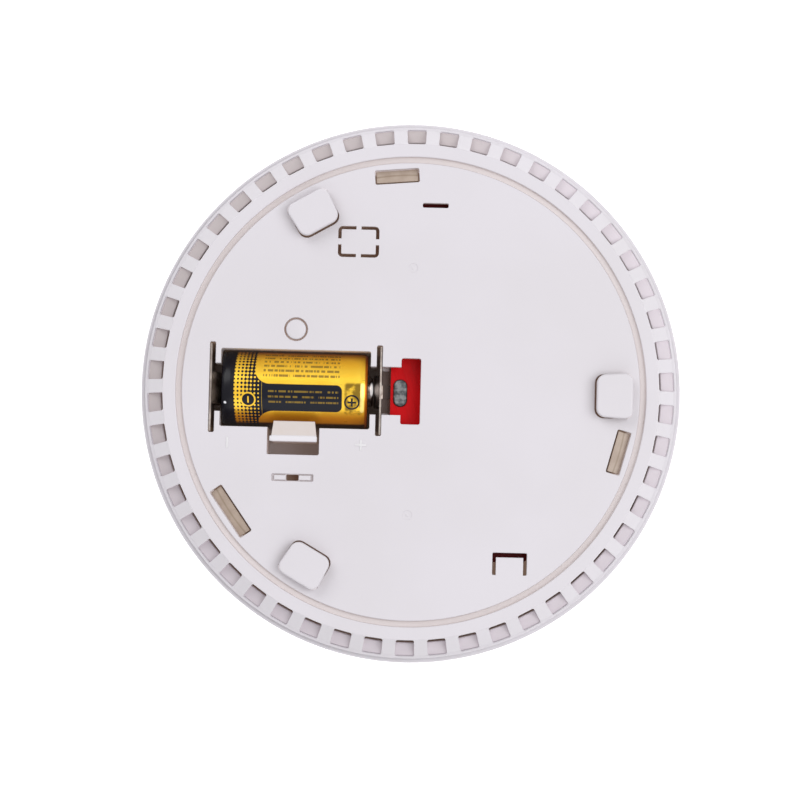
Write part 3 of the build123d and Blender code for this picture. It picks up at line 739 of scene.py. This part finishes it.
def prism(name, profile, x, edge=0.0, steps=2):
    """A side profile (y, z) in millimetres, made a solid between two places along X."""
    select_none()
    bpy.ops.mesh.primitive_circle_add(vertices=len(profile), fill_type="NGON")
    piece = bpy.context.object
    for vertex, (y, z) in zip(piece.data.vertices, profile):
        vertex.co = (x[0] * mm, y * mm, z * mm)
    bpy.ops.object.mode_set(mode="EDIT")
    bpy.ops.mesh.select_all(action="SELECT")
    bpy.ops.mesh.extrude_region_move(TRANSFORM_OT_translate={"value": ((x[1] - x[0]) * mm, 0, 0)})
    bpy.ops.mesh.select_all(action="SELECT")
    bpy.ops.mesh.normals_make_consistent()
    if edge:
        bpy.ops.mesh.bevel(offset=edge * mm, segments=steps, affect="EDGES")
    return named(name)


latch = prism("latch_arm", latch_profile, (-30.4, -20.8), edge=0.09)
for vertex in latch.data.vertices:
    nose = max(0.0, (vertex.co.y / mm + 10.3) / 3.2)
    middle = -25.6 * mm
    vertex.co.x = middle + (vertex.co.x - middle) * (1.035 - 0.085 * nose)
ears = block("ears", (-31.0, -20.5), (-11.65, -10.45), (31.2, 33.85), edge=0.2)
latch = carve(latch, [ears], "UNION")
smoothed(latch)
latch_white = white_plastic("latch_white", 0.4)
x, y, z = latch_white.axes()
face_shade_cloud = latch_white.noise(0.6, detail=3.0)
# Painted glow on the lower part of the arm
seep(latch_white, 1 - z.ramp(31.0, 33.0), 0.2)
# Painted shade on the sloping face and nose towards the cell: a warmer, darker white
latch_white.surface(Base_Color=latch_white.mix(
    y.ramp(-10.45, -10.2) * (0.8 + face_shade_cloud * 0.3), tint(208, 205, 210), tint(194, 184, 180)))
coat(latch, latch_white, "latch", "housing_white", "battery_latch")


# ---- Locking tongue
# A short tab of the plate, cut free on three sides, that springs into the ceiling bracket.
tongue_profile = [
    (-40.16, rear_z), (-36.25, rear_z), (-36.1, rear_z - 0.15), (-36.1, plate_under),
    (-39.7, plate_under), (-39.9, plate_under + 1.2), (-40.0, rear_z - 0.25),
    (-40.08, rear_z - 0.08),
]
tongue = prism("locking_tab", tongue_profile, (tongue_x[0] + 0.8, tongue_x[1] - 0.8), edge=0.05)
smoothed(tongue)
coat(tongue, shell_white, "tongue", "housing_white", "locking_tongue")


# ---- Pairing button
# A small round key in the plate, pressed to join detectors over the radio, with a crowned top.
pair_key = turned("pairing_key", rounded([
    (0.4, 34.0, 0.0), (2.2, 33.9, 0.3), (2.25, 31.8, 0.0), (2.85, 31.8, 0.15), (2.85, 31.2, 0.15),
    (0.4, 31.2, 0.0),
]), 96)
place(pair_key, centre=pair_place)
smoothed(pair_key)
coat(pair_key, shell_white, "pairing_key", "button_white", "pairing_button")


# ---- Test button
# The round middle of the front, slightly dished for a finger, on a stem that reaches its switch.
stem_root = 4.5
stem_shift = 1.6
test_key = turned("test_key", rounded([
    (0.5, 1.1, 0.0), (7.0, 0.95, 3.0), (11.0, 0.62, 2.0), (button_r, 0.62, 0.6),
    (button_r, 2.3, 0.0), (button_r + 1.5, 2.3, 0.1), (button_r + 1.5, 3.5, 0.3), (3.0, 3.5, 0.5),
    (1.6, 6.0, 0.4), (1.6, 21.0, 0.3), (0.5, 21.0, 0.0),
]), 128)
for vertex in test_key.data.vertices:
    if vertex.co.z > stem_root * mm:
        vertex.co.x += stem_shift * mm
smoothed(test_key)
coat(test_key, shell_white, "test_key", "button_white", "test_button")


# ---- Battery cell
# A round lithium cell: a nickel-plated can in a printed shrink sleeve, gold over dark navy, with a
# black band at its negative end and a raised cap at its positive end.
cell_r = 8.4
cell_z = 25.3
cell_x = (-41.9, -9.6)


def along_x(piece, start):
    """Lay a turned piece along X on the cell's axis, its zero height at start."""
    swing = Matrix.Rotation(pi / 2, 4, "Y")
    piece.data.transform(Matrix.Translation((start * mm, 0, cell_z * mm)) @ swing)
    return piece


sleeve_length = cell_x[1] - cell_x[0]
sleeve = along_x(turned("cell_sleeve", rounded([
    (6.2, 0.35, 0.0), (6.2, 0.0, 0.15), (7.9, 0.0, 0.5), (8.25, 0.75, 0.6), (cell_r, 1.9, 0.8),
    (cell_r, sleeve_length - 1.6, 0.8), (8.3, sleeve_length - 0.7, 0.6),
    (8.0, sleeve_length, 0.35), (6.8, sleeve_length - 0.1, 0.1),
    (6.8, sleeve_length - 0.4, 0.0), (7.9, sleeve_length - 0.5, 0.3),
    (8.0, 0.6, 0.3),
]), 160, closed=True), cell_x[0])
smoothed(sleeve, 50)

print_ink = Paint("cell_print", Specular_IOR_Level=0.22, Coat_Roughness=0.12)
x, y, z = print_ink.axes()
wrap = y.math("ARCTAN2", z - cell_z) * cell_r
print_bow = 0.01
x = x - y * y * print_bow * ((cell_x[1] - x) / 32)
gold = tint(255, 208, 70)
ink = tint(18, 21, 34)
# Halftone of squares that grow from nothing into full ink
pitch_x = 0.83
pitch_wrap = 0.9
wave_x = ((x + 38.3) * (2 * pi / pitch_x)).math("COSINE")
wave_wrap = ((wrap - 0.12) * (2 * pi / pitch_wrap)).math("COSINE")
coverage = (x + 41.0) * 0.11
dots = (wave_x + wave_wrap - (1.9 - coverage * 3.9)).ramp(-0.25, 0.25)


def rounded_field(low, high, radius, soft=0.1):
    """1 inside a rounded rectangle on the wrapped label, from (x, wrap) to (x, wrap)."""
    middle = [(a + b) / 2 for a, b in zip(low, high)]
    half = [(b - a) / 2 - radius for a, b in zip(low, high)]
    across = ((x - middle[0]).math("ABSOLUTE") - half[0]).either(0.0)
    along = ((wrap - middle[1]).math("ABSOLUTE") - half[1]).either(0.0)
    distance = (across * across + along * along).math("SQRT")
    return 1 - distance.ramp(radius - soft, radius + soft)


upper_field = rounded_field((-34.6, 1.0), (10.0, 14.5), 3.3)
lower_field = rounded_field((-34.0, -30.0), (10.0, -5.3), 3.6)
navy_end = rounded_field((-60.0, -5.3), (-15.2, 1.0), 1.4)
navy = (x.ramp(-33.1, -32.9)).both(navy_end.either(1 - x.ramp(-28.1, -27.9)))
navy = navy.either(dots.both(1 - x.ramp(-33.1, -32.9)))
navy = navy * (1 - upper_field) * (1 - lower_field)


def fine_print(first_row, row_pitch, row_height, area):
    """Broken rows of letter-sized marks in place of small print, with no two rows alike."""
    level = (wrap - first_row) / row_pitch
    row = level.math("ROUND")
    inside = 1 - (level - row).math("ABSOLUTE").ramp(row_height * 0.8, row_height)
    spot = print_ink.node("ShaderNodeCombineXYZ", sockets={0: x, 1: row * 7.3, 2: 0.0})
    letters = print_ink.node(
        "ShaderNodeTexNoise", sockets={"Vector": spot, "Scale": 2.3, "Detail": 1.0})
    words = print_ink.node(
        "ShaderNodeTexNoise", sockets={"Vector": spot, "Scale": 0.55, "Detail": 0.0})
    return inside * letters.ramp(0.40, 0.47) * words.ramp(0.36, 0.38) * area


fine_ink = fine_print(9.1, 1.24, 0.27, rounded_field((-32.8, 2.6), (-15.8, 9.7), 0.2))
fine_gold = fine_print(-3.05, 1.2, 0.2, rounded_field((-31.6, -3.6), (-16.0, -0.2), 0.2))


def ring_mark(at_x, at_wrap):
    """Distance in millimetres from a spot on the wrapped label."""
    return ((x - at_x).power(2.0) + (wrap - at_wrap).power(2.0)).math("SQRT")


minus_spot = ring_mark(-36.0, -2.65)
plus_spot = ring_mark(-13.0, -2.8)
minus_disc = 1 - minus_spot.ramp(1.3, 1.42)
minus_halo = 1 - minus_spot.ramp(1.62, 1.74)
minus_bar = rounded_field((-36.15, -3.4), (-35.85, -1.9), 0.1, 0.06)
plus_ring = (plus_spot.ramp(1.3, 1.4)) * (1 - plus_spot.ramp(1.68, 1.78))
plus_bar = rounded_field((-13.95, -3.02), (-12.05, -2.58), 0.1, 0.06).either(
    rounded_field((-13.22, -3.75), (-12.78, -1.85), 0.1, 0.06))
amount = navy.either(fine_ink * 0.7) * (1 - fine_gold * 0.2)
amount = (amount * (1 - minus_halo)).either(minus_disc) * (1 - minus_bar)
amount = amount.either(plus_ring).either(plus_bar)
black_band = 1 - x.ramp(-39.25, -39.1)
foil_cloud = print_ink.noise(0.25, detail=2.0)
foil = print_ink.mix(foil_cloud.ramp(0.25, 0.75), tint(250, 198, 60), gold)
# Painted shade and reflection: the foil darkens towards its steep sides and its shoulder, and
# turns dark brown along its lower and upper edges, where it mirrors the bay
foil = print_ink.mix(wrap.ramp(7.0, 11.5) * 0.85, foil, tint(190, 108, 26))
foil = print_ink.mix((0.0 - wrap).ramp(4.0, 7.5) * 0.8, foil, tint(200, 120, 24))
foil = print_ink.mix((0.0 - wrap).ramp(8.7, 9.7) * 0.97, foil, tint(60, 42, 30))
foil = print_ink.mix(wrap.ramp(10.8, 12.0) * 0.95, foil, tint(60, 42, 30))
# Painted reflection: an olive, streaked dark patch around the plus mark
shade = rounded_field((-14.6, -5.9), (-10.7, 1.5), 0.6, 0.35)
shade = shade * print_ink.noise(0.5, detail=3.0).ramp(0.3, 0.52)
foil = print_ink.mix(shade * 0.85, foil, tint(104, 80, 30))
# Painted highlight: a pale yellow strip near the positive end
gleam = rounded_field((-11.15, -5.3), (-10.35, 1.6), 0.38, 0.14)
foil = print_ink.mix(gleam * 0.75, foil, tint(255, 232, 140))
foil = print_ink.mix(x.ramp(-10.4, -10.0), foil, tint(170, 88, 18))
label = print_ink.mix(amount, foil, ink)
# Painted glint: a white spot on the black band
glint = 1 - ring_mark(-41.15, -3.5).ramp(0.15, 0.4)
scuff = print_ink.noise(1.5, detail=3.0, stretch=(0.15, 1.0, 1.0))
print_ink.surface(
    Base_Color=print_ink.mix(
        black_band, label, print_ink.mix(glint, tint(22, 21, 28), tint(232, 232, 238))),
    Metallic=(1 - amount.either(black_band)) * 0.6,
    Roughness=0.3 + (scuff - 0.5) * 0.14,
    Coat_Weight=0.08 + (scuff - 0.5) * 0.04,
)
print_ink.bump(foil_cloud * 0.6 + scuff * 0.2, 0.03, strength=0.4)
coat(sleeve, print_ink, "battery", "cell_print", "battery_sleeve")

cap = along_x(turned("cell_cap", rounded([
    (5.4, 0.0, 0.0), (5.4, 0.25, 0.1), (3.5, 0.3, 0.3), (3.15, 1.5, 0.45), (0.3, 1.62, 0.0),
]), 96), cell_x[1] - 0.4)
smoothed(cap, 40)


def metal(name, colour, dull, roughness, brushed=(1.0, 1.0, 1.0), grain_mm=0.01, per_mm=1.2,
          cloud_per_mm=0.35):
    """Bare metal with cloudy tarnish and fine brushed or stippled grain."""
    paint = Paint(name, Metallic=1.0)
    cloud = paint.noise(cloud_per_mm, detail=3.0)
    grain = paint.noise(per_mm * 4, detail=2.0, stretch=brushed)
    paint.surface(
        Base_Color=paint.mix(cloud.ramp(0.35, 0.7), dull, colour),
        Roughness=roughness + (cloud - 0.5) * 0.2 + (grain - 0.5) * 0.15,
    )
    paint.bump(grain, grain_mm, strength=0.5)
    return paint


nickel = metal("cell_nickel", tint(205, 203, 200), tint(165, 160, 158), 0.18)
x, y, z = nickel.axes()
# The glint of a lamp along the crown of the cap
gleam_x = (x + 8.75) * 2.4
gleam_y = (y - 0.4) * 0.62
gleam = 1 - (gleam_x * gleam_x + gleam_y * gleam_y).math("SQRT").ramp(0.6, 1.1)
nickel.put(nickel.shader.inputs["Emission Strength"], 1.0)
nickel.surface(Emission_Color=nickel.mix(
    gleam * z.ramp(25.5, 27.0) * 0.85, tint(0, 0, 0), tint(215, 212, 212)))
coat(cap, nickel, "battery", "cell_cap", "battery_cap")


def finish_node(node, paint):
    """A CAD node keeps its shape and takes a detailed material."""
    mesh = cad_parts[node].data
    mesh.materials.clear()
    mesh.materials.append(paint.material)


finish_node("battery_can", metal("can_nickel", tint(190, 188, 184), tint(150, 147, 143), 0.3))


def matte(name, colour, faded, roughness, per_mm=2.5, depth_mm=0.01):
    """Moulded or pressed dull material with a fine uneven grain."""
    paint = Paint(name, Specular_IOR_Level=0.4)
    cloud = paint.noise(0.2, detail=3.0)
    grain = paint.noise(per_mm, detail=3.0, roughness=0.6)
    paint.surface(
        Base_Color=paint.mix(cloud.ramp(0.3, 0.75), colour, faded),
        Roughness=roughness + (grain - 0.5) * 0.2,
    )
    paint.bump(grain, depth_mm, strength=0.7)
    return paint


finish_node("battery_washer", matte("washer_card", tint(28, 28, 30), tint(44, 42, 42), 0.7, 4.0))


# ---- Battery contacts
# Nickel-plated spring strip, stamped and bent, with a leaf that bows towards the cell. The positive
# one's tail comes up through the board and is soldered there.
strip_nickel = tint(205, 194, 186)
strip_tarnish = tint(160, 148, 140)
strip = metal("spring_strip", strip_nickel, strip_tarnish, 0.34, (1.0, 0.1, 1.0))
finish_node("negative_contact", strip)
# Painted shade: the positive contact's tail, low in the passage, made dark brown and less metallic
shaded_contact = metal("shaded_contact_strip", strip_nickel, strip_tarnish, 0.34, (1.0, 0.1, 1.0))
x, y, z = shaded_contact.axes()
tail = x.ramp(-6.3, -6.2) * (1 - z.ramp(27.4, 27.8))
mottle = shaded_contact.noise(0.8, detail=3.0)
shaded_contact.surface(
    Base_Color=shaded_contact.mix(
        tail, shaded_contact.mix(mottle.ramp(0.35, 0.7), tint(165, 152, 144), strip_nickel),
        tint(74, 56, 48)),
    Metallic=1 - tail * 0.9)
finish_node("positive_contact", shaded_contact)

solder = flat_outline("solder_joint", [
    (-3.9, -3.3), (-0.8, -3.3), (-0.8, 2.8), (-3.9, 2.8),
], 1.5, 28.95, 29.4, edge=0.35)
smoothed(solder, 60)
tin = metal("solder_tin", tint(132, 134, 135), tint(72, 75, 77), 0.5, grain_mm=0.04, per_mm=0.8,
            cloud_per_mm=1.0)
coat(solder, tin, "detector", "solder_grey", "contact_solder")


# ---- Circuit board
# Glass-fibre board under a deep red solder mask, with faint tracks and a ground hatch showing
# through as low ridges.
mask = Paint("board_red", Specular_IOR_Level=0.12)
x, y, z = mask.axes()
track_pitch = 2.2
lane = ((x + y * 0.35) * (2 * pi / track_pitch)).math("COSINE").ramp(0.75, 0.9)
lane_end = mask.noise(0.12, detail=0.0).ramp(0.48, 0.5)
weave = mask.noise(2.2, detail=2.0)
tracks = lane * lane_end
# Painted shade: grey-brown patches under the lug windows, the knock-out and the bridge slot
slot_shade_patch = 0.0
for spot_x, spot_y, spot_r in (
    (43.5, 0.0, 8.0), (-21.75, 37.7, 8.0), (-21.75, -37.7, 8.0), (-12.35, 32.85, 6.5),
    (-25.7, -19.65, 3.0),
):
    spot = ((x - spot_x).power(2.0) + (y - spot_y).power(2.0)).math("SQRT")
    slot_shade_patch = (1 - spot.ramp(spot_r - 0.2, spot_r + 0.2)).either(slot_shade_patch)
# Painted shade: the red deepens to a dark red from 36 to 40 mm out from the middle
mask.surface(
    Base_Color=mask.mix(
        slot_shade_patch,
        mask.mix(
            (x * x + y * y).math("SQRT").ramp(36.0, 40.0),
            mask.mix(tracks * 0.3 + weave * 0.3, tint(196, 6, 20), tint(178, 4, 15)),
            tint(88, 10, 14)),
        tint(176, 158, 146)),
    Roughness=0.36 + (weave - 0.5) * 0.15,
)
mask.bump(tracks * 0.8 + weave * 0.2, 0.02, strength=0.35)
finish_node("circuit_board", mask)
screw = metal("screw_zinc", tint(190, 190, 192), tint(150, 150, 150), 0.3)
finish_node("board_screws", screw)


# ---- Smoke chamber
# A light-tight maze of black vanes under a base that holds the two optics, inside an etched steel
# screen that keeps insects out.
maze = matte("maze_black", tint(30, 30, 32), tint(40, 40, 42), 0.75, 3.0, 0.02)
finish_node("chamber_base", maze)
finish_node("chamber_cover", maze)
finish_node("insect_screen", metal("screen_steel", tint(150, 150, 152), tint(110, 110, 112), 0.4))


def resin(name, colour, deep, roughness=0.12):
    """Cast resin or lacquer with a clear gloss and faint swirls."""
    paint = Paint(name, Specular_IOR_Level=0.6, Coat_Weight=0.3, Coat_Roughness=0.08)
    swirl = paint.noise(0.5, detail=2.0)
    paint.surface(
        Base_Color=paint.mix(swirl.ramp(0.3, 0.7), deep, colour),
        Roughness=roughness + (swirl - 0.5) * 0.08,
    )
    paint.bump(swirl, 0.02, strength=0.3)
    return paint


finish_node("infrared_emitter", resin("emitter_resin", tint(150, 160, 190), tint(120, 130, 165)))
finish_node("light_receiver", resin("receiver_resin", tint(40, 34, 46), tint(26, 22, 32)))


# ---- Sounder
# A brass disc with a silvered ceramic, seated in a black resonator cup and fed by spring fingers.
finish_node("sounder_cup", matte("cup_black", tint(34, 34, 35), tint(46, 46, 47), 0.6))
finish_node("sounder_disc", metal("disc_brass", tint(205, 170, 95), tint(170, 130, 70), 0.3))
finish_node(
    "sounder_ceramic", resin("ceramic_silver", tint(205, 203, 196), tint(188, 184, 176), 0.4))
finish_node("sounder_fingers", strip)


# ---- Electronics
# Moulded chip and switches, a screened radio board, sleeved capacitors, a wound coil and the lamp
# with its clear light pipe, all on the front side of the board.
finish_node("control_chip", matte("chip_resin", tint(30, 30, 32), tint(40, 40, 41), 0.55, 3.5))
finish_node("radio_board", resin("radio_green", tint(24, 96, 58), tint(16, 76, 46), 0.35))
finish_node("radio_shield", metal("shield_tin", tint(188, 188, 186), tint(150, 150, 148), 0.3))
switch_black = matte("switch_black", tint(32, 32, 33), tint(44, 44, 45), 0.5)
finish_node("test_switch", switch_black)
finish_node("pairing_switch", switch_black)
finish_node("capacitors", resin("capacitor_sleeve", tint(34, 40, 70), tint(24, 28, 52), 0.3))
finish_node("boost_coil", matte("coil_ferrite", tint(60, 50, 46), tint(78, 60, 50), 0.6, 2.0, 0.03))
finish_node("status_lamp", resin("lamp_red", tint(190, 40, 36), tint(150, 26, 26)))
pipe = resin("pipe_clear", tint(225, 230, 232), tint(205, 212, 216), 0.08)
pipe.put(pipe.shader.inputs["Transmission Weight"], 0.6)
finish_node("light_pipe", pipe)


# ---- Floor, light and camera
# A pale plain floor under soft studio light, brightest from the right and above, and a camera that
# looks down on the ceiling side.
bpy.ops.mesh.primitive_plane_add(size=6)
bpy.ops.transform.translate(value=(0, 0, -0.2 * mm))
bpy.ops.object.transform_apply(location=True, rotation=False, scale=False)
floor = named("studio_floor")
floor_paint = Paint("floor_white", Roughness=0.9, Specular_IOR_Level=0.1, Emission_Strength=0.45)
floor_paint.put(floor_paint.shader.inputs["Emission Color"], (1, 1, 1, 1))
floor_paint.surface(
    Base_Color=floor_paint.mix(floor_paint.noise(0.002).ramp(0.3, 0.7), (0.93, 0.93, 0.93, 1),
                               (0.94, 0.94, 0.94, 1)))
floor.data.materials.append(floor_paint.material)

view_height = 0.8
camera_tilt = 87.6
camera_roll = 1.4
target = Vector((-2.36 * mm, -1.95 * mm, rear_z * mm))
tilt = radians(camera_tilt)
roll = radians(camera_roll)
back = Vector((0, -cos(tilt), sin(tilt)))
up = Vector((-sin(roll), cos(roll), 0))
right = up.cross(back).normalized()
up = back.cross(right).normalized()
camera_data = bpy.data.cameras.new("camera")
camera = bpy.data.objects.new("camera", camera_data)
bpy.context.scene.collection.objects.link(camera)
camera_data.sensor_width = 36.0
camera_data.lens = 36.0 * view_height / (800 / 4.53 * mm)
camera_data.clip_start = 0.01
camera.matrix_world = Matrix.Translation(target + back * view_height) @ Matrix(
    (right, up, back)).transposed().to_4x4()
bpy.context.scene.camera = camera


def soft_light(name, place_m, size, power, towards=(0, 0, 0.02)):
    """A square softbox that faces a point."""
    light = bpy.data.lights.new(name, "AREA")
    light.size = size
    light.energy = power
    lamp = bpy.data.objects.new(name, light)
    bpy.context.scene.collection.objects.link(lamp)
    lamp.location = place_m
    aim = Vector(place_m) - Vector(towards)
    lamp.rotation_euler = aim.to_track_quat("Z", "Y").to_euler()


soft_light("key_right", (0.75, 0.0, 1.3), 1.1, 13.5)
soft_light("fill_left", (-0.7, 0.8, 1.0), 1.0, 8)
soft_light("fill_front", (0.1, -1.2, 1.0), 1.2, 3.5)
world = bpy.data.worlds.new("studio")
world.use_nodes = True
world.node_tree.nodes["Background"].inputs["Color"].default_value = (1, 1, 1, 1)
world.node_tree.nodes["Background"].inputs["Strength"].default_value = 0.55
bpy.context.scene.world = world
bpy.context.scene.view_settings.view_transform = "Standard"
